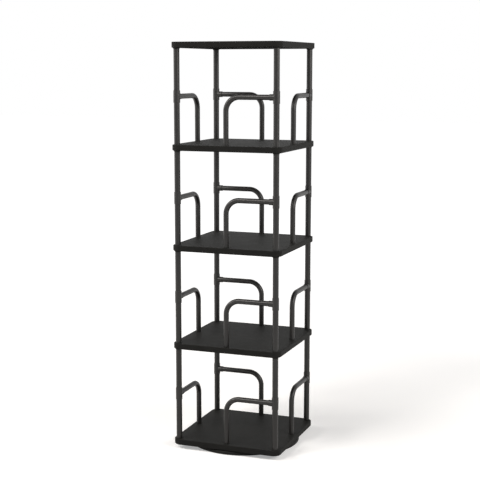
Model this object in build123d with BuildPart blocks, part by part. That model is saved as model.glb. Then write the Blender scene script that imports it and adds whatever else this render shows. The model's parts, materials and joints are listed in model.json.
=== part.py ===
from build123d import *

import os

# Revolving bookcase: a tower of five square decks on four corner posts, with a bent guard rail on each
# side of each tier, turning on a ball bearing over a round base disc. Millimetres, +Z up, origin on the
# floor under the middle of the tower, front towards -Y.

# Tower
post_spacing = 300.0
tier_pitch = 290.0
tier_names = ["tier_1", "tier_2", "tier_3", "tier_4"]
side_names = ["front", "right", "back", "left"]
corner_names = ["front_right", "back_right", "back_left", "front_left"]
side_count = len(side_names)

# Clearances
push_fit = 0.1
running_gap = 0.3
end_gap = 0.5

# Decks, moulded with a ribbed underside
deck_overhang = 16.0
deck_corner = 23.0
deck_thickness = 17.0
bottom_deck_thickness = 17.0
deck_skin = 3.5
deck_skirt = 5.0
deck_rib = 2.5
deck_rib_count = 4
deck_top_edge = 1.8
deck_bottom_edge = 3.0

# Short collars under the deck corners, and the seats that the posts stand in
collar_height = 2.5
collar_wall = 0.9
collar_flare = 0.4
post_seat = 3.0
bottom_seat_floor = 3.0

# Posts, with a plug through each deck corner
post_diameter = 17.0
post_wall = 1.2
plug_reach = 20.0
plug_bore = 7.0
plug_lead = 1.2

# Tees, which part each post at half height and hold a rail
tee_height = 35.0
tee_wall = 1.15
tee_stop_height = 3.0
tee_stop_lip = 1.5
tee_branch_reach = 20.0
tee_branch_wall = 1.2
tee_branch_step = 0.8
tee_edge = 0.5

# Guard rails
rail_diameter = 15.2
rail_wall = 1.2
rail_bend = 40.0
rail_socket_depth = 10.0

# Base disc, with six feet
base_height = 10.5
base_deck_gap = 1.5
base_floor_gap = 1.0
base_wall = 3.0
base_skin = 4.5
base_rib = 2.5
base_rib_count = 12
base_top_edge = 4.0
base_bottom_edge = 2.4
foot_count = 6
foot_diameter = 22.0
foot_seat = 1.5
foot_inset = 18.0
foot_edge = 0.6
foot_boss_wall = 2.0

# Turntable bearing
bearing_diameter = 152.0
bearing_plate = 2.0
bearing_inset = 1.5
race_inset = 21.0
race_depth = 0.9
race_clearance = 0.1
ball_diameter = 6.0
ball_count = 24
cage_thickness = 1.6
cage_width = 10.0
cage_pocket_gap = 0.2
eyelet_bore = 24.0
eyelet_wall = 2.5
eyelet_flange = 3.5
eyelet_flange_thickness = 1.2
plate_edge = 0.4

# Bearing screws
screw_count = 4
screw_diameter = 4.0
screw_head_diameter = 7.0
screw_head_height = 1.6
screw_head_edge = 0.6
base_screw_inset = 8.0
base_screw_length = 7.5
deck_screw_inset = 32.0
deck_screw_length = 9.0
deck_screw_turn = 45.0
screw_boss_wall = 3.0
driver_hole_diameter = 9.0

# Deck sizes that follow
deck_side = post_spacing + 2 * deck_overhang
deck_cells = deck_side - 2 * deck_skirt
deck_rib_pitch = deck_cells / (deck_rib_count + 1)
deck_boss_radius = deck_overhang - deck_skirt / 2
seat_radius = post_diameter / 2 + push_fit
collar_radius = seat_radius + collar_wall

# Heights that follow
base_underside = base_floor_gap
base_top = base_underside + base_height
bottom_deck_underside = base_top + base_deck_gap
bottom_deck_top = bottom_deck_underside + bottom_deck_thickness
deck_tops = [bottom_deck_top + tier_pitch * level for level in range(len(tier_names) + 1)]
rail_height = (tier_pitch - deck_thickness) / 2

# Posts, plugs, tees and rails that follow
post_length = rail_height + post_seat - tee_stop_height / 2
plug_radius = post_diameter / 2 - post_wall - push_fit
plug_hole_radius = plug_radius + push_fit
tee_bore_radius = post_diameter / 2 + push_fit
tee_stop_radius = tee_bore_radius - tee_stop_lip
rail_socket_radius = rail_diameter / 2 + push_fit
tee_branch_radius = rail_socket_radius + tee_branch_wall
tee_radius = max(tee_bore_radius + tee_wall, tee_branch_radius + tee_branch_step)
rail_run = post_spacing / 2

# Base and bearing sizes that follow
base_radius = deck_side / 2
race_diameter = bearing_diameter - 2 * race_inset
base_screw_circle = bearing_diameter - 2 * base_screw_inset
deck_screw_circle = bearing_diameter - 2 * deck_screw_inset
lower_plate_underside = base_top - bearing_inset
lower_plate_top = lower_plate_underside + bearing_plate
race_radius = ball_diameter / 2 + race_clearance
ball_height = lower_plate_top + race_radius - race_depth
upper_plate_underside = ball_height + race_radius - race_depth
upper_plate_top = upper_plate_underside + bearing_plate
eyelet_radius = eyelet_bore / 2 + eyelet_wall
eyelet_flange_radius = eyelet_radius + eyelet_flange
eyelet_foot = lower_plate_underside - eyelet_flange_thickness
eyelet_top = upper_plate_top + running_gap + eyelet_flange_thickness
base_hub_radius = eyelet_flange_radius + running_gap
foot_circle_radius = base_radius - foot_inset
foot_top = base_underside + foot_seat
foot_boss_radius = foot_diameter / 2 + push_fit + foot_boss_wall
screw_hole_radius = screw_diameter / 2 + push_fit
screw_boss_radius = screw_hole_radius + screw_boss_wall


def finish(piece, label):
    """Label a piece and write it as its own file."""
    piece.part.label = label
    export_step(piece.part, f"parts/{label}.step")


def post_places():
    """The four post axes, as seen from above."""
    return GridLocations(post_spacing, post_spacing, 2, 2)


def side_plane(side, height):
    """Upright plane through the two posts of a side: x runs from the tee along the rail, y points up."""
    turn = 360 / side_count * side
    corner = Vector(post_spacing / 2, -post_spacing / 2, height).rotate(Axis.Z, turn)
    along = Vector(-1, 0, 0).rotate(Axis.Z, turn)
    inward = Vector(0, 1, 0).rotate(Axis.Z, turn)
    return Plane(origin=corner, x_dir=along, z_dir=inward)


def make_deck(label, top, thickness, posts_above=True, posts_below=True):
    """Moulded deck; one with posts above also takes rails, one without posts below rests on the bearing."""
    underside = top - thickness
    seat_floor = underside + post_seat if posts_below else underside + bottom_seat_floor
    hole_top = top if posts_above else top - deck_skin
    with BuildPart() as deck:
        with BuildSketch(Plane.XY.offset(underside)):
            RectangleRounded(deck_side, deck_side, deck_corner)
        extrude(amount=thickness)
        fillet(deck.faces().sort_by(Axis.Z)[-1].edges(), deck_top_edge)
        fillet(deck.faces().sort_by(Axis.Z)[0].edges(), deck_bottom_edge)

        # Cells between the skirt, the crossing ribs and the bosses
        with BuildSketch(Plane.XY.offset(underside)):
            RectangleRounded(deck_cells, deck_cells, deck_corner - deck_skirt)
            with GridLocations(deck_rib_pitch, deck_rib_pitch, deck_rib_count, 1):
                Rectangle(deck_rib, deck_cells, mode=Mode.SUBTRACT)
            with GridLocations(deck_rib_pitch, deck_rib_pitch, 1, deck_rib_count):
                Rectangle(deck_cells, deck_rib, mode=Mode.SUBTRACT)
            with post_places():
                Circle(deck_boss_radius, mode=Mode.SUBTRACT)
            if posts_above:
                with PolarLocations(rail_run, side_count):
                    Circle(deck_boss_radius, mode=Mode.SUBTRACT)
            if not posts_below:
                with PolarLocations(deck_screw_circle / 2, screw_count, start_angle=deck_screw_turn):
                    Circle(screw_boss_radius, mode=Mode.SUBTRACT)
        extrude(amount=thickness - deck_skin, mode=Mode.SUBTRACT)

        if posts_below:
            # Collars round the posts of the tier below
            with Locations((0, 0, underside - collar_height)):
                with post_places():
                    Cone(
                        collar_radius,
                        collar_radius + collar_flare,
                        collar_height,
                        align=(Align.CENTER, Align.CENTER, Align.MIN),
                    )
            with BuildSketch(Plane.XY.offset(underside - collar_height)):
                with post_places():
                    Circle(seat_radius)
            extrude(amount=collar_height + post_seat, mode=Mode.SUBTRACT)
        else:
            # Round room for the bearing, with the ribs left above it as its seat
            with BuildSketch(Plane.XY.offset(underside)):
                Circle(bearing_diameter / 2 + running_gap)
            extrude(amount=upper_plate_top - underside, mode=Mode.SUBTRACT)
            with BuildSketch(Plane.XY.offset(upper_plate_top)):
                Circle(eyelet_flange_radius + running_gap)
            extrude(amount=eyelet_top + end_gap - upper_plate_top, mode=Mode.SUBTRACT)
            with BuildSketch(Plane.XY.offset(upper_plate_underside)):
                with PolarLocations(deck_screw_circle / 2, screw_count, start_angle=deck_screw_turn):
                    Circle(screw_hole_radius)
            extrude(amount=deck_screw_length + end_gap, mode=Mode.SUBTRACT)

        # Holes for the plugs
        with BuildSketch(Plane.XY.offset(seat_floor)):
            with post_places():
                Circle(plug_hole_radius)
        extrude(amount=hole_top - seat_floor, mode=Mode.SUBTRACT)

        if posts_above:
            # Seats for the posts and sockets for the rails of the tier above
            with BuildSketch(Plane.XY.offset(top)):
                with post_places():
                    Circle(seat_radius)
            extrude(amount=-post_seat, mode=Mode.SUBTRACT)
            with BuildSketch(Plane.XY.offset(top)):
                with PolarLocations(rail_run, side_count):
                    Circle(rail_socket_radius)
            extrude(amount=-rail_socket_depth, mode=Mode.SUBTRACT)
    finish(deck, label)


def make_plugs(label, spans):
    """Plugs inside the posts, one at each corner for each (lowest, highest) span."""
    with BuildPart() as plugs:
        for lowest, highest in spans:
            with BuildSketch(Plane.XY.offset(lowest)):
                with post_places():
                    Circle(plug_radius)
                    Circle(plug_bore / 2, mode=Mode.SUBTRACT)
            extrude(amount=highest - lowest)
        chamfer(plugs.edges().filter_by(GeomType.CIRCLE).group_by(SortBy.RADIUS)[-1], plug_lead)
    finish(plugs, label)


def make_posts(label, lowest):
    """Four post tubes, one at each corner, standing on the given height."""
    with BuildPart() as posts:
        with BuildSketch(Plane.XY.offset(lowest)):
            with post_places():
                Circle(post_diameter / 2)
                Circle(post_diameter / 2 - post_wall, mode=Mode.SUBTRACT)
        extrude(amount=post_length)
    finish(posts, label)


def make_tee(label, side, deck_top):
    """Tee on a post: a sleeve with an inner stop for the two tubes, and a branch for the rail's end."""
    upright = side_plane(side, deck_top + rail_height)
    foot = Plane(upright.origin - Vector(0, 0, tee_height / 2))
    branch = Plane(upright.origin, x_dir=upright.z_dir, z_dir=upright.x_dir)
    tube_depth = (tee_height - tee_stop_height) / 2
    with BuildPart() as tee:
        with BuildSketch(foot):
            Circle(tee_radius)
        extrude(amount=tee_height)
        rims = tee.edges().filter_by(GeomType.CIRCLE)
        fillet(rims, tee_edge)
        with BuildSketch(branch):
            Circle(tee_branch_radius)
        extrude(amount=tee_branch_reach)
        mouth = tee.faces().filter_by(GeomType.PLANE).sort_by(Axis(upright.origin, upright.x_dir))[-1]
        fillet(mouth.edges(), tee_edge)

        # Tube bores from both ends, the smaller hole through the stop, and the blind rail socket
        with BuildSketch(foot):
            Circle(tee_bore_radius)
        extrude(amount=tube_depth, mode=Mode.SUBTRACT)
        with BuildSketch(foot.offset(tee_height)):
            Circle(tee_bore_radius)
        extrude(amount=-tube_depth, mode=Mode.SUBTRACT)
        with BuildSketch(foot):
            Circle(tee_stop_radius)
        extrude(amount=tee_height, mode=Mode.SUBTRACT)
        with BuildSketch(branch.offset(tee_radius)):
            Circle(rail_socket_radius)
        extrude(amount=tee_branch_reach - tee_radius, mode=Mode.SUBTRACT)
    finish(tee, label)


def make_rail(label, side, deck_top):
    """Guard rail: a tube that leaves the tee level, bends down in mid-side and enters the deck."""
    with BuildPart() as rail:
        with BuildLine(side_plane(side, deck_top)) as route:
            FilletPolyline(
                (tee_radius, rail_height),
                (rail_run, rail_height),
                (rail_run, -rail_socket_depth),
                radius=rail_bend,
            )
        with BuildSketch(Plane(origin=route.line @ 0, z_dir=route.line % 0)):
            Circle(rail_diameter / 2)
            Circle(rail_diameter / 2 - rail_wall, mode=Mode.SUBTRACT)
        sweep(path=route.wires()[0])
    finish(rail, label)


def make_plate(label, underside, hole_radius, screw_circle, screw_turn, driver_holes):
    """Bearing plate: a round steel plate with a race groove on the side that faces the balls."""
    with BuildPart() as plate:
        with BuildSketch(Plane.XY.offset(underside)):
            Circle(bearing_diameter / 2)
        extrude(amount=bearing_plate)
        fillet(plate.edges(), plate_edge)
        with BuildSketch(Plane.XY.offset(underside)):
            Circle(hole_radius)
            with PolarLocations(screw_circle / 2, screw_count, start_angle=screw_turn):
                Circle(screw_hole_radius)
            if driver_holes:
                with PolarLocations(deck_screw_circle / 2, screw_count, start_angle=deck_screw_turn):
                    Circle(driver_hole_diameter / 2)
        extrude(amount=bearing_plate, mode=Mode.SUBTRACT)
        with BuildSketch(Plane.XZ):
            with Locations((race_diameter / 2, ball_height)):
                Circle(race_radius)
        revolve(axis=Axis.Z, mode=Mode.SUBTRACT)
    finish(plate, label)


def make_screws(label, circle, turn, seat, length, downwards):
    """Bearing screws: a low head on the plate and a plain shank into the moulding."""
    way = -1 if downwards else 1
    with BuildPart() as screws:
        with BuildSketch(Plane.XY.offset(seat)):
            with PolarLocations(circle / 2, screw_count, start_angle=turn):
                Circle(screw_head_diameter / 2)
        extrude(amount=-way * screw_head_height)
        heads = screws.faces().filter_by(Axis.Z).group_by(Axis.Z)[-1 if downwards else 0]
        fillet(heads.edges(), screw_head_edge)
        with BuildSketch(Plane.XY.offset(seat)):
            with PolarLocations(circle / 2, screw_count, start_angle=turn):
                Circle(screw_diameter / 2)
        extrude(amount=way * length)
    finish(screws, label)


os.makedirs("parts", exist_ok=True)

# Base disc: round moulding with a rounded rim, a seat for the bearing and a ribbed underside
with BuildPart() as base_disc:
    with BuildSketch(Plane.XY.offset(base_underside)):
        Circle(base_radius)
    extrude(amount=base_height)
    fillet(base_disc.faces().sort_by(Axis.Z)[-1].edges(), base_top_edge)
    fillet(base_disc.faces().sort_by(Axis.Z)[0].edges(), base_bottom_edge)

    # Cells between the rim, the hub, the radial ribs and the bosses
    with BuildSketch(Plane.XY.offset(base_underside)):
        Circle(base_radius - base_wall)
        Circle(base_hub_radius + base_wall, mode=Mode.SUBTRACT)
        with PolarLocations(base_radius / 2, base_rib_count):
            Rectangle(base_radius, base_rib, mode=Mode.SUBTRACT)
        with PolarLocations(base_screw_circle / 2, screw_count):
            Circle(screw_boss_radius, mode=Mode.SUBTRACT)
        with PolarLocations(foot_circle_radius, foot_count):
            Circle(foot_boss_radius, mode=Mode.SUBTRACT)
    extrude(amount=base_height - base_skin, mode=Mode.SUBTRACT)

    # Ring ribs, the outer one first
    with BuildSketch(Plane.XY.offset(base_underside)):
        for ring_radius in ((base_screw_circle / 2 + foot_circle_radius) / 2, base_screw_circle / 2):
            Circle(ring_radius + base_rib / 2)
            Circle(ring_radius - base_rib / 2, mode=Mode.SUBTRACT)
    extrude(amount=base_height - base_skin)

    # Bearing seat and hub hole, screw holes, driver holes and foot seats
    with BuildSketch(Plane.XY.offset(base_top)):
        Circle(bearing_diameter / 2 + push_fit)
    extrude(amount=-bearing_inset, mode=Mode.SUBTRACT)
    with BuildSketch(Plane.XY.offset(base_underside)):
        Circle(base_hub_radius)
        with PolarLocations(deck_screw_circle / 2, screw_count, start_angle=deck_screw_turn):
            Circle(driver_hole_diameter / 2)
    extrude(amount=base_height, mode=Mode.SUBTRACT)
    with BuildSketch(Plane.XY.offset(lower_plate_top)):
        with PolarLocations(base_screw_circle / 2, screw_count):
            Circle(screw_hole_radius)
    extrude(amount=-base_screw_length - end_gap, mode=Mode.SUBTRACT)
    with BuildSketch(Plane.XY.offset(base_underside)):
        with PolarLocations(foot_circle_radius, foot_count):
            Circle(foot_diameter / 2 + push_fit)
    extrude(amount=foot_seat, mode=Mode.SUBTRACT)
finish(base_disc, "base_disc")

# Rubber feet, let into the base disc
with BuildPart() as rubber_feet:
    with BuildSketch():
        with PolarLocations(foot_circle_radius, foot_count):
            Circle(foot_diameter / 2)
    extrude(amount=foot_top)
    fillet(rubber_feet.faces().filter_by(Axis.Z).group_by(Axis.Z)[0].edges(), foot_edge)
finish(rubber_feet, "rubber_feet")

# Bearing plates: the lower one on the base disc, the upper one under the bottom deck
make_plate(
    "bearing_lower_plate", lower_plate_underside, eyelet_radius + push_fit, base_screw_circle, 0, True
)
make_plate(
    "bearing_upper_plate",
    upper_plate_underside,
    eyelet_radius + running_gap,
    deck_screw_circle,
    deck_screw_turn,
    False,
)

# Eyelet that keeps the two plates together: a sleeve with a flange at each end
with BuildPart() as bearing_eyelet:
    with BuildSketch(Plane.XY.offset(eyelet_foot)):
        Circle(eyelet_radius)
    extrude(amount=eyelet_top - eyelet_foot)
    for flange_foot in (eyelet_foot, eyelet_top - eyelet_flange_thickness):
        with BuildSketch(Plane.XY.offset(flange_foot)):
            Circle(eyelet_flange_radius)
        extrude(amount=eyelet_flange_thickness)
    with BuildSketch(Plane.XY.offset(eyelet_foot)):
        Circle(eyelet_bore / 2)
    extrude(amount=eyelet_top - eyelet_foot, mode=Mode.SUBTRACT)
finish(bearing_eyelet, "bearing_eyelet")

# Balls, evenly spaced round the race by the cage
with BuildPart() as bearing_balls:
    with Locations((0, 0, ball_height)):
        with PolarLocations(race_diameter / 2, ball_count):
            Sphere(ball_diameter / 2)
finish(bearing_balls, "bearing_balls")

with BuildPart() as ball_cage:
    with BuildSketch(Plane.XY.offset(ball_height - cage_thickness / 2)):
        Circle(race_diameter / 2 + cage_width / 2)
        Circle(race_diameter / 2 - cage_width / 2, mode=Mode.SUBTRACT)
        with PolarLocations(race_diameter / 2, ball_count):
            Circle(ball_diameter / 2 + cage_pocket_gap, mode=Mode.SUBTRACT)
    extrude(amount=cage_thickness)
finish(ball_cage, "ball_cage")

make_screws("bearing_base_screws", base_screw_circle, 0, lower_plate_top, base_screw_length, True)
make_screws(
    "bearing_deck_screws",
    deck_screw_circle,
    deck_screw_turn,
    upper_plate_underside,
    deck_screw_length,
    False,
)

# Decks from the bottom up
make_deck("deck_bottom", deck_tops[0], bottom_deck_thickness, posts_below=False)
for label, top in zip(("deck_second", "deck_third", "deck_fourth"), deck_tops[1:-1]):
    make_deck(label, top, deck_thickness)
make_deck("deck_top", deck_tops[-1], deck_thickness, posts_above=False)

# Plugs: through the decks between, blind in the bottom deck and in the top deck
bottom_plug = (
    bottom_deck_underside + bottom_seat_floor,
    bottom_deck_top - post_seat + plug_reach,
)
middle_plugs = [
    (top - deck_thickness + post_seat - plug_reach, top - post_seat + plug_reach)
    for top in deck_tops[1:-1]
]
top_plug = (
    deck_tops[-1] - deck_thickness + post_seat - plug_reach,
    deck_tops[-1] - deck_skin,
)
make_plugs("post_plugs_bottom", [bottom_plug])
make_plugs("post_plugs_middle", middle_plugs)
make_plugs("post_plugs_top", [top_plug])

# Tiers: posts below and above the tees, then the tees and rails round the four sides
for tier, deck_top in zip(tier_names, deck_tops):
    make_posts(f"{tier}_posts_lower", deck_top - post_seat)
    make_posts(f"{tier}_posts_upper", deck_top + rail_height + tee_stop_height / 2)
    for side in range(side_count):
        make_tee(f"{tier}_tee_{corner_names[side]}", side, deck_top)
        make_rail(f"{tier}_rail_{side_names[side]}", side, deck_top)
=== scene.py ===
import json
import logging
import math
from dataclasses import dataclass
from enum import Enum
from typing import Any, Callable

import bpy
from mathutils import Matrix, Vector


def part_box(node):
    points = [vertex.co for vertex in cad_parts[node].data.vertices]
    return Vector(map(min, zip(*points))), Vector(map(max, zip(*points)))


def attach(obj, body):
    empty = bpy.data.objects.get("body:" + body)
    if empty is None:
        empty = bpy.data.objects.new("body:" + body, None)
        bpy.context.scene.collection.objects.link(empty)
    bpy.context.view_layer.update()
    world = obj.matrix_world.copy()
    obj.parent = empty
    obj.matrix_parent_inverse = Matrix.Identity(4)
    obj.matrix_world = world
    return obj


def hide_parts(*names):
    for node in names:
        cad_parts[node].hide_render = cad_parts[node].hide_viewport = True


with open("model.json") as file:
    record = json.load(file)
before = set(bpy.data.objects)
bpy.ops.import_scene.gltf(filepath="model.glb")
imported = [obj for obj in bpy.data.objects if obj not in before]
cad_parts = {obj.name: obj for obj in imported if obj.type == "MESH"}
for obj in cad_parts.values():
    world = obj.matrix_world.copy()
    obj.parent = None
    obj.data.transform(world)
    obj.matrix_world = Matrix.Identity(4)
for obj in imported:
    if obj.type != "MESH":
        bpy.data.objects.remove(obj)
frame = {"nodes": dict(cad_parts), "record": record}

logging.basicConfig(level=logging.INFO, format="%(message)s")
LOG = logging.getLogger("bookcase")

MM = 0.001
# A point lies on a level within TOUCH of it, points within MERGE of each other become one, and a face whose
# normal drops below STRAIGHT_DOWN looks straight down.
TOUCH = 0.01 * MM
MERGE = 0.001 * MM
STRAIGHT_DOWN = -0.99
WHITE = "#ffffff"


# Named choices

class Body(Enum):
    """The three bodies that move against each other."""

    BASE = "base"
    BALL_RING = "ball_ring"
    TOWER = "tower"


class Slot(Enum):
    """Material slots of the record."""

    DECK_MOULDING = "deck_moulding"
    BASE_MOULDING = "base_moulding"
    POWDER_COATED_TUBE = "powder_coated_tube"
    TEE_MOULDING = "tee_moulding"
    PLUG_NYLON = "plug_nylon"
    FOOT_RUBBER = "foot_rubber"
    ZINC_PLATE = "zinc_plate"
    ZINC_SCREW = "zinc_screw"
    BALL_STEEL = "ball_steel"
    CAGE_NYLON = "cage_nylon"


class Relief(Enum):
    """Fine relief of a surface, as the detail, roughness and distortion of its noise.

    A sprayed coat flows into a peel, a spark-eroded mould leaves a grit, a polished mould leaves a nearly
    smooth skin, and plating grows a mottled bloom.
    """

    PEEL = (1.0, 0.35, 0.0)
    GRIT = (1.5, 0.5, 0.0)
    SKIN = (2.0, 0.5, 0.4)
    BLOOM = (4.0, 0.6, 0.8)


class Pick(Enum):
    """What is picked on a mesh, as Blender's select mode and its place in the tool settings."""

    EDGES = ("EDGE", 1)
    FACES = ("FACE", 2)


class Carving(Enum):
    """What a tool does to a piece, as the Boolean modifier names it."""

    CUT = "DIFFERENCE"
    ADD = "UNION"


# Materials

# Noise of the slow colour drift, where its two shades stop changing, how much of the fine relief the
# roughness takes up, and the span that the drift and that share of the relief cover together.
DRIFT_DETAIL = 4.0
DRIFT_ROUGHNESS = 0.55
SHADE_STOPS = (0.3, 0.7)
RELIEF_SHARE = 0.5
WEAR_SPAN = (0.45, 1.05)


def linear(colour: str) -> tuple[float, float, float, float]:
    """Turn an sRGB hex colour into linear light.

    Args:
        colour: The colour as "#rrggbb".

    Returns:
        Linear red, green, blue and an alpha of 1.
    """
    parts = [int(colour[i:i + 2], 16) / 255 for i in (1, 3, 5)]
    light = [c / 12.92 if c <= 0.04045 else ((c + 0.055) / 1.055) ** 2.4 for c in parts]
    return (light[0], light[1], light[2], 1.0)


def per_metre(size_mm: float) -> float:
    """Work out a pattern's scale from a real size.

    Args:
        size_mm: Width of one feature, in millimetres.

    Returns:
        Features per metre.
    """
    return 1 / (size_mm * MM)


def add_node(
    tree: bpy.types.NodeTree, kind: str, links: dict[str | int, Any] | None = None, **settings: Any
) -> bpy.types.Node:
    """Add one shader node with its settings and its incoming links.

    Args:
        tree: The node tree to add to.
        kind: The node's type name.
        links: Input socket, by name or number, to an output socket or a plain value.
        settings: Attributes of the node itself.

    Returns:
        The new node.
    """
    node = tree.nodes.new(kind)
    for name, value in settings.items():
        setattr(node, name, value)
    for key, value in (links or {}).items():
        if isinstance(key, int):
            socket = node.inputs[key]
        else:
            socket = next(s for s in node.inputs if s.name == key and s.enabled)
        if isinstance(value, bpy.types.NodeSocket):
            tree.links.new(value, socket)
        else:
            socket.default_value = value
    return node


@dataclass(frozen=True)
class Finish:
    """A surface named for its material and how it was made.

    The base colour drifts between the dark and the light shade over patches of drift_mm. The fine relief is
    grain_mm wide and relief_mm high. The roughness follows both, between its two values.
    """

    name: str
    dark: str
    light: str
    roughness: tuple[float, float]
    relief: Relief
    grain_mm: float
    relief_mm: float
    drift_mm: float = 35.0
    metallic: float = 0.0
    specular: float = 0.5
    ior: float = 1.5

    def material(self) -> bpy.types.Material:
        """Make the material once, and return the same one after that.

        Returns:
            The Blender material.
        """
        made = bpy.data.materials.get(self.name)
        if made:
            return made
        made = bpy.data.materials.new(self.name)
        made.use_nodes = True
        tree = made.node_tree
        shader = next(n for n in tree.nodes if n.type == "BSDF_PRINCIPLED")
        place = add_node(tree, "ShaderNodeTexCoord").outputs["Object"]
        drift = add_node(
            tree, "ShaderNodeTexNoise",
            {
                "Vector": place,
                "Scale": per_metre(self.drift_mm),
                "Detail": DRIFT_DETAIL,
                "Roughness": DRIFT_ROUGHNESS,
            },
        ).outputs["Fac"]
        shade = add_node(tree, "ShaderNodeValToRGB", {"Fac": drift})
        for stop, position, colour in zip(shade.color_ramp.elements, SHADE_STOPS, (self.dark, self.light)):
            stop.position = position
            stop.color = linear(colour)
        detail, rough, twist = self.relief.value
        height = add_node(
            tree, "ShaderNodeTexNoise",
            {
                "Vector": place,
                "Scale": per_metre(self.grain_mm),
                "Detail": detail,
                "Roughness": rough,
                "Distortion": twist,
            },
        ).outputs["Fac"]
        worn = add_node(
            tree, "ShaderNodeMath", {0: height, 1: RELIEF_SHARE, 2: drift}, operation="MULTIPLY_ADD"
        )
        dullness = add_node(
            tree, "ShaderNodeMapRange",
            {
                "Value": worn.outputs["Value"],
                "From Min": WEAR_SPAN[0],
                "From Max": WEAR_SPAN[1],
                "To Min": self.roughness[0],
                "To Max": self.roughness[1],
            },
        )
        bump = add_node(
            tree, "ShaderNodeBump", {"Height": height, "Strength": 1.0, "Distance": self.relief_mm * MM}
        )
        tree.links.new(shade.outputs["Color"], shader.inputs["Base Color"])
        tree.links.new(dullness.outputs["Result"], shader.inputs["Roughness"])
        tree.links.new(bump.outputs["Normal"], shader.inputs["Normal"])
        shader.inputs["Metallic"].default_value = self.metallic
        shader.inputs["Specular IOR Level"].default_value = self.specular
        if not self.metallic:
            shader.inputs["IOR"].default_value = self.ior
        return made


FINISHES: dict[Slot, Finish] = {
    # Satin black powder coat on steel tube: sprayed and baked, so it flows into a faint orange peel that
    # softens the long highlights down the tube. The real peel is a few microns high and is drawn higher
    # here, so that it shows in a close view.
    Slot.POWDER_COATED_TUBE: Finish(
        "powder_coated_steel_tube", "#171615", "#1e1d1c", (0.32, 0.4), Relief.PEEL, grain_mm=3.0,
        relief_mm=0.05, specular=0.34,
    ),
    # Black polypropylene moulded in a spark-eroded tool: an even grit that scatters the light, so the decks
    # look dull and nearly without highlights. The real grit is about 0.3 mm wide and is drawn about seven
    # times coarser here, so that it shows in a close view.
    Slot.DECK_MOULDING: Finish(
        "moulded_polypropylene_deck", "#1b1b1a", "#20201f", (0.55, 0.65), Relief.GRIT, grain_mm=2.2,
        relief_mm=0.3, specular=0.05, ior=1.49,
    ),
    # The base disc comes from the same plastic in a smoother tool, so its rim takes a soft shine. Its skin
    # is drawn coarser and higher than the real one, as the grit is.
    Slot.BASE_MOULDING: Finish(
        "moulded_polypropylene_base", "#1a1a19", "#1f1f1e", (0.48, 0.58), Relief.SKIN, grain_mm=2.2,
        relief_mm=0.15, specular=0.08, ior=1.49,
    ),
    # Tees moulded in black ABS in a polished tool: shinier than the decks and close to the tubes that they
    # join, so that a post reads as one line. Their skin is drawn higher than the real one.
    Slot.TEE_MOULDING: Finish(
        "moulded_abs_tee", "#171615", "#1e1d1b", (0.34, 0.42), Relief.SKIN, grain_mm=1.6, relief_mm=0.05,
        specular=0.32, ior=1.54,
    ),
    # Black nylon plugs, moulded smooth: a faint waxy shine, where an open tube end lets one see it.
    Slot.PLUG_NYLON: Finish(
        "moulded_black_nylon", "#181818", "#202020", (0.42, 0.52), Relief.SKIN, grain_mm=0.8,
        relief_mm=0.01, ior=1.53,
    ),
    # Moulded rubber feet: dull, nearly without shine, with a slightly open skin.
    Slot.FOOT_RUBBER: Finish(
        "moulded_rubber_foot", "#151515", "#1e1d1c", (0.75, 0.9), Relief.GRIT, grain_mm=0.7,
        relief_mm=0.03, drift_mm=8.0, ior=1.52,
    ),
    # Pressed steel with bright zinc plating: a cool grey with a faint mottled bloom.
    Slot.ZINC_PLATE: Finish(
        "zinc_plated_pressed_steel", "#a9abad", "#bdbfc1", (0.26, 0.4), Relief.BLOOM, grain_mm=1.5,
        relief_mm=0.004, drift_mm=9.0, metallic=1.0,
    ),
    # Plated screws, rolled and tumbled, so a little duller than the plates.
    Slot.ZINC_SCREW: Finish(
        "zinc_plated_rolled_screw", "#a3a4a4", "#b6b6b5", (0.28, 0.42), Relief.BLOOM, grain_mm=0.6,
        relief_mm=0.004, drift_mm=3.0, metallic=1.0,
    ),
    # Bearing steel, ground and polished: each ball shows small sharp reflections of the race.
    Slot.BALL_STEEL: Finish(
        "polished_bearing_steel", "#c4c5c7", "#cdced0", (0.06, 0.1), Relief.SKIN, grain_mm=1.0,
        relief_mm=0.0005, drift_mm=4.0, metallic=1.0,
    ),
    # Ball cage moulded in natural nylon, milky and waxy.
    Slot.CAGE_NYLON: Finish(
        "moulded_natural_nylon", "#d8d4c6", "#e2dfd3", (0.4, 0.5), Relief.SKIN, grain_mm=0.9,
        relief_mm=0.008, ior=1.53,
    ),
}


def dress(piece: bpy.types.Object, slot: Slot) -> None:
    """Give a piece the finish of one material slot all over.

    Args:
        piece: A CAD node or a new piece.
        slot: The slot whose finish it wears.
    """
    piece.data.materials.clear()
    piece.data.materials.append(FINISHES[slot].material())


# Work at the bench

def clear_bench() -> None:
    """Leave edit mode and deselect everything, so that the next operator touches only what is added."""
    if bpy.context.object and bpy.context.object.mode != "OBJECT":
        bpy.ops.object.mode_set(mode="OBJECT")
    bpy.ops.object.select_all(action="DESELECT")


def hold(piece: bpy.types.Object) -> None:
    """Select one piece alone and make it the active one.

    Args:
        piece: The piece to work on.
    """
    clear_bench()
    piece.select_set(True)
    bpy.context.view_layer.objects.active = piece


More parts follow.
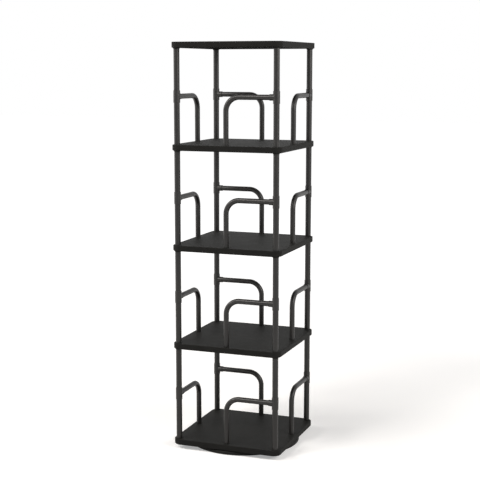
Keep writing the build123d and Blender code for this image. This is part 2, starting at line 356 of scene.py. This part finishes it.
def pick(piece: bpy.types.Object, kind: Pick, test: Callable[[Vector, Vector], bool]) -> None:
    """Go into edit mode with just the faces or edges that pass a test.

    Args:
        piece: The piece to work on.
        kind: Whether faces or edges are picked.
        test: Called with an item's middle and its direction: a face's normal, or the line of an edge.
    """
    hold(piece)
    mesh = piece.data
    for group in (mesh.vertices, mesh.edges, mesh.polygons):
        group.foreach_set("select", [False] * len(group))
    mode, place = kind.value
    bpy.context.tool_settings.mesh_select_mode = [number == place for number in range(3)]
    if kind is Pick.FACES:
        for face in mesh.polygons:
            face.select = test(face.center, face.normal)
    else:
        for edge in mesh.edges:
            first, last = (mesh.vertices[v].co for v in edge.vertices)
            edge.select = test((first + last) / 2, (last - first).normalized())
    bpy.ops.object.mode_set(mode="EDIT")
    bpy.ops.mesh.select_mode(type=mode)


def faces_down(centre: Vector, normal: Vector) -> bool:
    """Tell whether a face looks straight down.

    Args:
        centre: The face's middle; not used.
        normal: The face's normal.

    Returns:
        Whether it does.
    """
    return normal.z < STRAIGHT_DOWN


def carve(piece: bpy.types.Object, tool: bpy.types.Object, carving: Carving) -> None:
    """Cut a tool's shape from a piece, or add it, and throw the tool away.

    Args:
        piece: The piece that is kept.
        tool: The closed shape to cut or add.
        carving: Whether the shape is cut or added.
    """
    hold(piece)
    work = piece.modifiers.new("carve", "BOOLEAN")
    work.operation = carving.value
    work.solver = "EXACT"
    work.object = tool
    bpy.ops.object.modifier_apply(modifier=work.name)
    bpy.data.objects.remove(tool)


def smooth(piece: bpy.types.Object, crease_deg: float = 35.0) -> None:
    """Merge doubles, point the faces outwards and shade smooth up to a crease.

    Args:
        piece: The piece to finish.
        crease_deg: Angle between faces from which an edge stays sharp.
    """
    hold(piece)
    bpy.ops.object.mode_set(mode="EDIT")
    bpy.ops.mesh.select_all(action="SELECT")
    bpy.ops.mesh.remove_doubles(threshold=MERGE)
    bpy.ops.mesh.normals_make_consistent(inside=False)
    bpy.ops.object.mode_set(mode="OBJECT")
    bpy.ops.object.shade_smooth_by_angle(angle=math.radians(crease_deg))


def place_copy(model: bpy.types.Object, name: str, where: Matrix) -> bpy.types.Object:
    """Copy a model with a mesh of its own and put its place into that mesh.

    Args:
        model: The piece that was modelled once.
        name: The copy's name.
        where: Its place in the frame.

    Returns:
        The copy, at the origin, unturned and unscaled.
    """
    hold(model)
    bpy.ops.object.duplicate(linked=False)
    copy = bpy.context.object
    copy.name = name
    copy.data.name = name
    copy.matrix_world = where
    bpy.ops.object.transform_apply(location=True, rotation=True, scale=True)
    return copy


# Sub-assemblies

@dataclass
class SubAssembly:
    """CAD nodes that belong together, known by how their names begin."""

    title: str
    beginnings: tuple[str, ...]

    def rows(self) -> list[dict[str, Any]]:
        """Find the nodes that still show.

        Returns:
            Their rows of the record.
        """
        return [
            row for row in frame["record"]["subparts"]
            if row["node"].startswith(self.beginnings) and not frame["nodes"][row["node"]].hide_render
        ]

    def build(self) -> None:
        """Model the new pieces; a sub-assembly that is whole as it stands has none."""

    def dress(self) -> None:
        """Give each node the finish of its material slot."""
        for row in self.rows():
            dress(frame["nodes"][row["node"]], Slot(row["material_slot"]))
            LOG.info("%s: dressed %s", self.title, row["node"])


@dataclass
class PanScrew:
    """Self-tapping screw with a pan head, a cross recess and a rolled thread. Sizes in millimetres."""

    head_diameter: float = 7.0
    head_height: float = 1.6
    head_round: float = 0.9
    head_rings: int = 5
    recess_reach: float = 3.8
    recess_width: float = 0.9
    recess_depth: float = 1.1
    recess_taper: float = 0.62
    thread_diameter: float = 4.0
    core_diameter: float = 3.0
    core_overlap: float = 0.4
    thread_pitch: float = 1.4
    thread_steps: int = 24
    thread_bite: float = 1.25
    tip_length: float = 1.6
    tip_share: float = 0.3
    sides: int = 32

    def model(self, length: float) -> bpy.types.Object:
        """Model one screw with its seat at the origin, its head up and its thread down.

        Args:
            length: From the seat to the tip, in millimetres.

        Returns:
            The screw.
        """
        screw = self.head()
        for turn in (0, 90):
            carve(screw, self.recess_tool(turn), Carving.CUT)
        carve(screw, self.core(length), Carving.ADD)
        carve(screw, self.thread(length), Carving.ADD)
        smooth(screw)
        return screw

    def head(self) -> bpy.types.Object:
        """Model the round head, domed by a bevel round its upper rim.

        Returns:
            The head.
        """
        clear_bench()
        height = self.head_height * MM
        bpy.ops.mesh.primitive_cylinder_add(
            vertices=self.sides, radius=self.head_diameter / 2 * MM, depth=height,
            location=(0, 0, height / 2),
        )
        head = bpy.context.object
        bpy.ops.object.transform_apply(location=True)
        pick(head, Pick.EDGES, lambda middle, line: middle.z > height - TOUCH)
        bpy.ops.mesh.bevel(offset=self.head_round * MM, segments=self.head_rings, affect="EDGES")
        clear_bench()
        return head

    def recess_tool(self, turn_deg: float) -> bpy.types.Object:
        """Model one bar of the cross, narrower at its foot, with its middle level with the top of the head.

        Args:
            turn_deg: Direction of the bar, seen from above.

        Returns:
            The bar.
        """
        clear_bench()
        bpy.ops.mesh.primitive_cube_add(size=1, location=(0, 0, self.head_height * MM))
        bar = bpy.context.object
        bar.scale = (self.recess_reach * MM, self.recess_width * MM, 2 * self.recess_depth * MM)
        bar.rotation_euler.z = math.radians(turn_deg)
        bpy.ops.object.transform_apply(location=True, rotation=True, scale=True)
        pick(bar, Pick.FACES, faces_down)
        bpy.ops.transform.resize(value=(self.recess_taper,) * 2 + (1.0,))
        clear_bench()
        return bar

    def core(self, length: float) -> bpy.types.Object:
        """Model the plain core of the shank, drawn down to a blunt tip and let into the head.

        Args:
            length: From the seat to the tip, in millimetres.

        Returns:
            The core.
        """
        clear_bench()
        plain = (length - self.tip_length) * MM
        sunk = self.core_overlap * MM
        bpy.ops.mesh.primitive_cylinder_add(
            vertices=self.sides, radius=self.core_diameter / 2 * MM, depth=plain + sunk,
            location=(0, 0, (sunk - plain) / 2),
        )
        core = bpy.context.object
        bpy.ops.object.transform_apply(location=True)
        pick(core, Pick.FACES, faces_down)
        bpy.ops.mesh.extrude_region_move(TRANSFORM_OT_translate={"value": (0, 0, -self.tip_length * MM)})
        bpy.ops.transform.resize(value=(self.tip_share,) * 2 + (1.0,))
        clear_bench()
        return core

    def thread(self, length: float) -> bpy.types.Object:
        """Wind a three-sided ridge round the core, from its tip towards the head, closed at both ends.

        Args:
            length: From the seat to the tip, in millimetres.

        Returns:
            The thread.
        """
        clear_bench()
        ridge = (self.thread_diameter - self.core_diameter) / 2 * MM * self.thread_bite
        corner = ridge * 2 / 3  # from the middle of an even triangle to its corners
        turns = int((length - self.tip_length) / self.thread_pitch) - 1
        start = -(length - self.tip_length) * MM
        bpy.ops.mesh.primitive_circle_add(
            vertices=3, radius=corner, rotation=(math.pi / 2, math.pi / 2, 0),
            location=(self.thread_diameter / 2 * MM - corner, 0, start),
        )
        thread = bpy.context.object
        bpy.ops.object.transform_apply(location=True, rotation=True)
        wind = thread.modifiers.new("wind", "SCREW")
        wind.screw_offset = self.thread_pitch * MM
        wind.iterations = turns
        wind.steps = wind.render_steps = self.thread_steps
        bpy.ops.object.modifier_apply(modifier=wind.name)
        bpy.ops.object.mode_set(mode="EDIT")
        bpy.ops.mesh.select_all(action="SELECT")
        bpy.ops.mesh.fill_holes(sides=0)
        bpy.ops.mesh.normals_make_consistent(inside=False)
        clear_bench()
        return thread


@dataclass
class GripFoot:
    """Round rubber foot with ring grooves in its sole. Sizes in millimetres."""

    diameter: float = 22.0
    sole_round: float = 0.6
    sole_rings: int = 4
    land: float = 1.5
    groove_width: float = 0.9
    groove_depth: float = 0.5
    groove_count: int = 3
    sides: int = 64

    def model(self, height: float) -> bpy.types.Object:
        """Model one foot that stands at the origin.

        Args:
            height: From the floor to its seat, in millimetres.

        Returns:
            The foot.
        """
        clear_bench()
        tall = height * MM
        bpy.ops.mesh.primitive_cylinder_add(
            vertices=self.sides, radius=self.diameter / 2 * MM, depth=tall, location=(0, 0, tall / 2)
        )
        foot = bpy.context.object
        bpy.ops.object.transform_apply(location=True)
        pick(foot, Pick.EDGES, lambda middle, line: middle.z < TOUCH)
        bpy.ops.mesh.bevel(offset=self.sole_round * MM, segments=self.sole_rings, affect="EDGES")
        pick(foot, Pick.FACES, faces_down)
        depth = self.groove_depth * MM
        for _ in range(self.groove_count):
            bpy.ops.mesh.inset(thickness=self.land * MM)
            bpy.ops.mesh.extrude_region_move(TRANSFORM_OT_translate={"value": (0, 0, depth)})
            bpy.ops.mesh.inset(thickness=self.groove_width * MM)
            bpy.ops.mesh.extrude_region_move(TRANSFORM_OT_translate={"value": (0, 0, -depth)})
        smooth(foot)
        return foot


@dataclass
class Turntable(SubAssembly):
    """Base disc, ball bearing, its screws and the rubber feet."""

    title: str = "turntable"
    beginnings: tuple[str, ...] = ("base_disc", "bearing_", "ball_cage", "rubber_feet")
    screw_count: int = 4
    foot_count: int = 6

    def build(self) -> None:
        """Model the screws and the feet in place of their plain solids."""
        self.screws("bearing_base_screws", Body.BASE, turn_deg=0, heads_up=True)
        self.screws("bearing_deck_screws", Body.TOWER, turn_deg=45, heads_up=False)
        self.feet("rubber_feet")

    def add(self, piece: bpy.types.Object, node: str, body: Body, slot: Slot) -> None:
        """Let a new piece stand for a node, ride on a body and wear a finish.

        Args:
            piece: The new piece.
            node: The CAD node that it stands for, alone or with its copies.
            body: The body that it moves with.
            slot: Its material slot.
        """
        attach(piece, body.value)
        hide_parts(node)
        dress(piece, slot)
        LOG.info("%s: modelled %s", self.title, piece.name)

    def screws(self, node: str, body: Body, turn_deg: float, heads_up: bool) -> None:
        """Set a ring of screws where the node has them.

        Args:
            node: The node with the plain screws.
            body: The body that the screws are driven into.
            turn_deg: Direction of the first screw, seen from above.
            heads_up: Whether the heads point up.
        """
        low, high = (Vector(corner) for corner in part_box(node))
        screw = PanScrew()
        head = screw.head_height * MM
        radius = (high.x - screw.head_diameter / 2 * MM) / math.cos(math.radians(turn_deg))
        seat = high.z - head if heads_up else low.z + head
        model = screw.model((high.z - low.z - head) / MM)
        flip = Matrix.Identity(4) if heads_up else Matrix.Rotation(math.pi, 4, "X")
        for number in range(self.screw_count):
            turn = Matrix.Rotation(math.radians(turn_deg) + math.tau / self.screw_count * number, 4, "Z")
            where = turn @ Matrix.Translation((radius, 0, seat)) @ flip
            self.add(place_copy(model, f"{node}_{number + 1}", where), node, body, Slot.ZINC_SCREW)
        bpy.data.objects.remove(model)

    def feet(self, node: str) -> None:
        """Set the ring of feet under the base disc.

        Args:
            node: The node with the plain feet.
        """
        low, high = (Vector(corner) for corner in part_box(node))
        foot = GripFoot()
        radius = high.x - foot.diameter / 2 * MM
        model = foot.model((high.z - low.z) / MM)
        for number in range(self.foot_count):
            where = Matrix.Rotation(math.tau / self.foot_count * number, 4, "Z") @ Matrix.Translation(
                (radius, 0, low.z)
            )
            self.add(place_copy(model, f"{node}_{number + 1}", where), node, Body.BASE, Slot.FOOT_RUBBER)
        bpy.data.objects.remove(model)


@dataclass
class DeckStack(SubAssembly):
    """Five decks and the plugs that join the posts through them."""

    title: str = "decks"
    beginnings: tuple[str, ...] = ("deck_", "post_plugs_")


@dataclass
class Tiers(SubAssembly):
    """Posts, tees and guard rails of the four tiers."""

    title: str = "tiers"
    beginnings: tuple[str, ...] = ("tier_",)


# Studio

@dataclass(frozen=True)
class SoftBox:
    """Rectangular soft lamp that faces the tower. Places and sizes in metres, power in watts."""

    name: str
    place: tuple[float, float, float]
    size: tuple[float, float]
    power: float
    colour: str = "#fffaf5"

    def hang(self, aim: Vector) -> None:
        """Hang the lamp so that it faces a point.

        Args:
            aim: The point that it faces.
        """
        data = bpy.data.lights.new(self.name, "AREA")
        data.shape = "RECTANGLE"
        data.size, data.size_y = self.size
        data.energy = self.power
        data.color = linear(self.colour)[:3]
        lamp = bpy.data.objects.new(self.name, data)
        lamp.location = self.place
        lamp.rotation_euler = (aim - Vector(self.place)).to_track_quat("-Z", "Y").to_euler()
        bpy.context.scene.collection.objects.link(lamp)


# The right and left lamps line the tubes, the middle one lights the rails' bends, the upper one the decks.
SOFT_BOXES = (
    SoftBox("right_soft_box", (2.4, -0.6, 1.7), (2.2, 1.3), 56),
    SoftBox("left_soft_box", (-2.6, -0.5, 1.3), (1.2, 2.0), 18),
    SoftBox("middle_soft_box", (-2.8, -1.6, 2.6), (1.4, 1.4), 64),
    SoftBox("upper_soft_box", (-1.4, -2.7, 3.8), (1.2, 1.2), 100),
)


@dataclass
class Studio:
    """Plain pale floor, soft light and the camera at the photograph's viewing angle. Places in metres.

    The floor's own white grows from the first value of floor_lift to the second between the two distances
    of floor_reach, because the lamps light it less further out. The lamps face aim.
    """

    eye: tuple[float, float, float] = (1.1830, -3.1504, 1.1187)
    yaw_deg: float = 20.816
    pitch_deg: float = 8.581
    lens_mm: float = 85.87
    sensor_mm: float = 36.0
    floor_side: float = 40.0
    floor_colour: str = "#e6e6e6"
    floor_lift: tuple[float, float] = (0.36, 0.96)
    floor_reach: tuple[float, float] = (0.3, 3.5)
    room_light: float = 0.08
    aim: tuple[float, float, float] = (0.0, 0.0, 0.6)

    def build(self) -> None:
        """Set the whole stage."""
        self.camera()
        self.floor()
        self.world()
        for box in SOFT_BOXES:
            box.hang(Vector(self.aim))
        bpy.context.scene.view_settings.view_transform = "Standard"

    def camera(self) -> None:
        """Place the camera."""
        data = bpy.data.cameras.new("photo_camera")
        data.lens = self.lens_mm
        data.sensor_width = self.sensor_mm
        eye = bpy.data.objects.new("photo_camera", data)
        eye.location = self.eye
        eye.rotation_euler = (math.radians(90 - self.pitch_deg), 0, math.radians(self.yaw_deg))
        bpy.context.scene.collection.objects.link(eye)
        bpy.context.scene.camera = eye

    def backdrop_share(self, tree: bpy.types.NodeTree) -> bpy.types.NodeSocket:
        """Tell rays that see the backdrop from rays that only carry light.

        Args:
            tree: The node tree to add to.

        Returns:
            Socket that is 1 for camera, mirror and see-through rays, and 0 for the rest.
        """
        path = add_node(tree, "ShaderNodeLightPath").outputs
        mirror = add_node(
            tree, "ShaderNodeMath", {0: path["Is Camera Ray"], 1: path["Is Glossy Ray"]},
            operation="MAXIMUM",
        )
        through = add_node(
            tree, "ShaderNodeMath", {0: mirror.outputs["Value"], 1: path["Is Transmission Ray"]},
            operation="MAXIMUM",
        )
        return through.outputs["Value"]

    def floor(self) -> None:
        """Lay a pale floor that looks white where it is lit and keeps the object's soft shadow."""
        clear_bench()
        bpy.ops.mesh.primitive_plane_add(size=self.floor_side)
        plane = bpy.context.object
        plane.name = "studio_floor"
        paint = bpy.data.materials.new("pale_floor")
        paint.use_nodes = True
        tree = paint.node_tree
        tree.nodes.clear()
        lit = add_node(tree, "ShaderNodeBsdfDiffuse", {"Color": linear(self.floor_colour)})
        place = add_node(tree, "ShaderNodeTexCoord").outputs["Object"]
        away = add_node(tree, "ShaderNodeVectorMath", {0: place}, operation="LENGTH")
        pale = add_node(
            tree, "ShaderNodeMapRange",
            {
                "Value": away.outputs["Value"],
                "From Min": self.floor_reach[0],
                "From Max": self.floor_reach[1],
                "To Min": self.floor_lift[0],
                "To Max": self.floor_lift[1],
            },
        )
        lift = add_node(
            tree, "ShaderNodeMath", {0: self.backdrop_share(tree), 1: pale.outputs["Result"]},
            operation="MULTIPLY",
        )
        glow = add_node(
            tree, "ShaderNodeEmission", {"Color": linear(WHITE), "Strength": lift.outputs["Value"]}
        )
        both = add_node(tree, "ShaderNodeAddShader", {0: lit.outputs["BSDF"], 1: glow.outputs["Emission"]})
        add_node(tree, "ShaderNodeOutputMaterial", {"Surface": both.outputs["Shader"]})
        plane.data.materials.append(paint)

    def world(self) -> None:
        """Light the room evenly; seen directly or in a reflection it is a white backdrop."""
        world = bpy.data.worlds.new("studio_room")
        bpy.context.scene.world = world
        world.use_nodes = True
        tree = world.node_tree
        tree.nodes.clear()
        room = add_node(tree, "ShaderNodeBackground", {"Color": linear(WHITE), "Strength": self.room_light})
        seen = add_node(tree, "ShaderNodeBackground", {"Color": linear(WHITE), "Strength": 1.0})
        mix = add_node(
            tree, "ShaderNodeMixShader",
            {0: self.backdrop_share(tree), 1: room.outputs["Background"], 2: seen.outputs["Background"]},
        )
        add_node(tree, "ShaderNodeOutputWorld", {"Surface": mix.outputs["Shader"]})


def main() -> None:
    """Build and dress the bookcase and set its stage."""
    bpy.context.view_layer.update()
    for part in (Turntable(), DeckStack(), Tiers()):
        part.build()
        part.dress()
    Studio().build()


if __name__ == "__main__":
    main()
